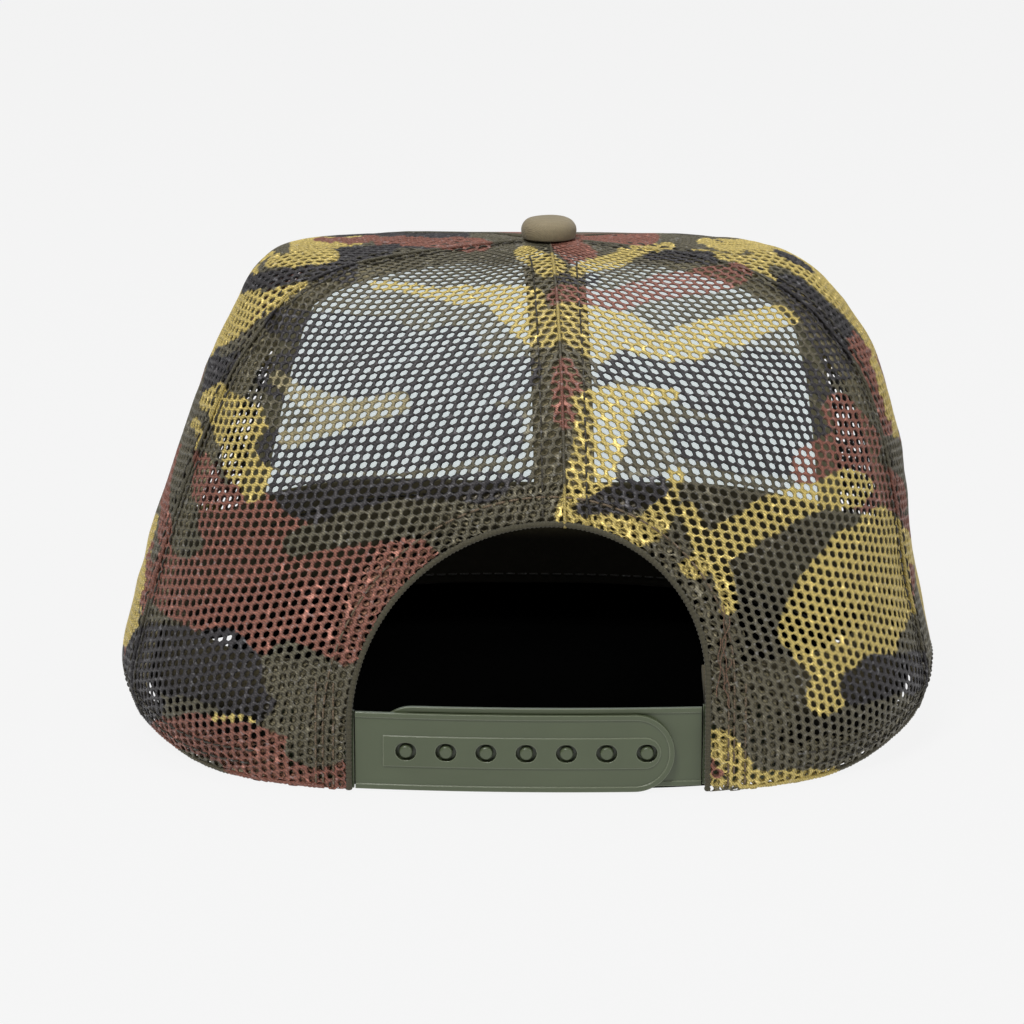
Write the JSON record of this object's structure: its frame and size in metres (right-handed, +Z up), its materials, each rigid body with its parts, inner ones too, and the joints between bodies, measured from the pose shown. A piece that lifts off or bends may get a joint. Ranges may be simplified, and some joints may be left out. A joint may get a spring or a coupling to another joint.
{
  "type": "trucker cap",
  "caption": "Five-panel trucker cap with a foam front, camouflage mesh sides and back, curved visor and an adjustable snap strap.",
  "frame": {"origin": "centre of the head opening, on the surface that the cap stands on", "axes": "+Y forwards over the visor, +X to the wearer's right, +Z up"},
  "size_m": [0.212, 0.2392, 0.1306],
  "materials": {
    "camo_fabric": "woven, matte",
    "camo_mesh": "open net of satin thread",
    "white_foam": "soft, matte",
    "seam_tape": "ribbed, matte",
    "sweatband_fabric": "woven, matte",
    "sweatband_pad": "soft, matte",
    "visor_board": "moulded",
    "button_fabric": "woven, matte",
    "button_metal": "pressed",
    "strap_plastic": "moulded, satin"
  },
  "bodies": {
    "crown": {"front_panel_cover": "camo_fabric", "front_panel_foam": "white_foam", "side_panel_left": "camo_mesh", "side_panel_right": "camo_mesh", "back_panel_left": "camo_mesh", "back_panel_right": "camo_mesh", "centre_back_tape": "seam_tape", "side_seam_tape_left": "seam_tape", "side_seam_tape_right": "seam_tape", "front_seam_tape_left": "seam_tape", "front_seam_tape_right": "seam_tape", "opening_binding": "seam_tape", "opening_facing": "camo_mesh", "hem_tape_left": "seam_tape", "hem_tape_right": "seam_tape", "sweatband_backing": "sweatband_fabric", "sweatband_padding": "sweatband_pad", "sweatband_facing": "sweatband_fabric", "visor_board": "visor_board", "visor_top_cover": "camo_fabric", "visor_under_cover": "sweatband_fabric", "visor_edge_binding": "seam_tape", "button_cover": "button_fabric", "button_shell": "button_metal", "button_rivet": "button_metal", "hole_strap_tab": "strap_plastic", "peg_strap_tab": "strap_plastic"},
    "outer_strap": {"hole_strap": "strap_plastic"},
    "inner_strap": {"peg_strap": "strap_plastic"}
  },
  "joints": [
    {"name": "hole_strap_swing", "type": "hinge", "parent": "crown", "child": "outer_strap", "pos_m": [-0.0404, -0.0834, 0.0101], "axis": [0, 0, -1], "range_deg": [0, 75], "stiffness_Nm_per_rad": 0.002},
    {"name": "peg_strap_swing", "type": "hinge", "parent": "crown", "child": "inner_strap", "pos_m": [0.045, -0.0805, 0.0112], "axis": [0, 0, -1], "range_deg": [0, 28], "stiffness_Nm_per_rad": 0.002}
  ]
}
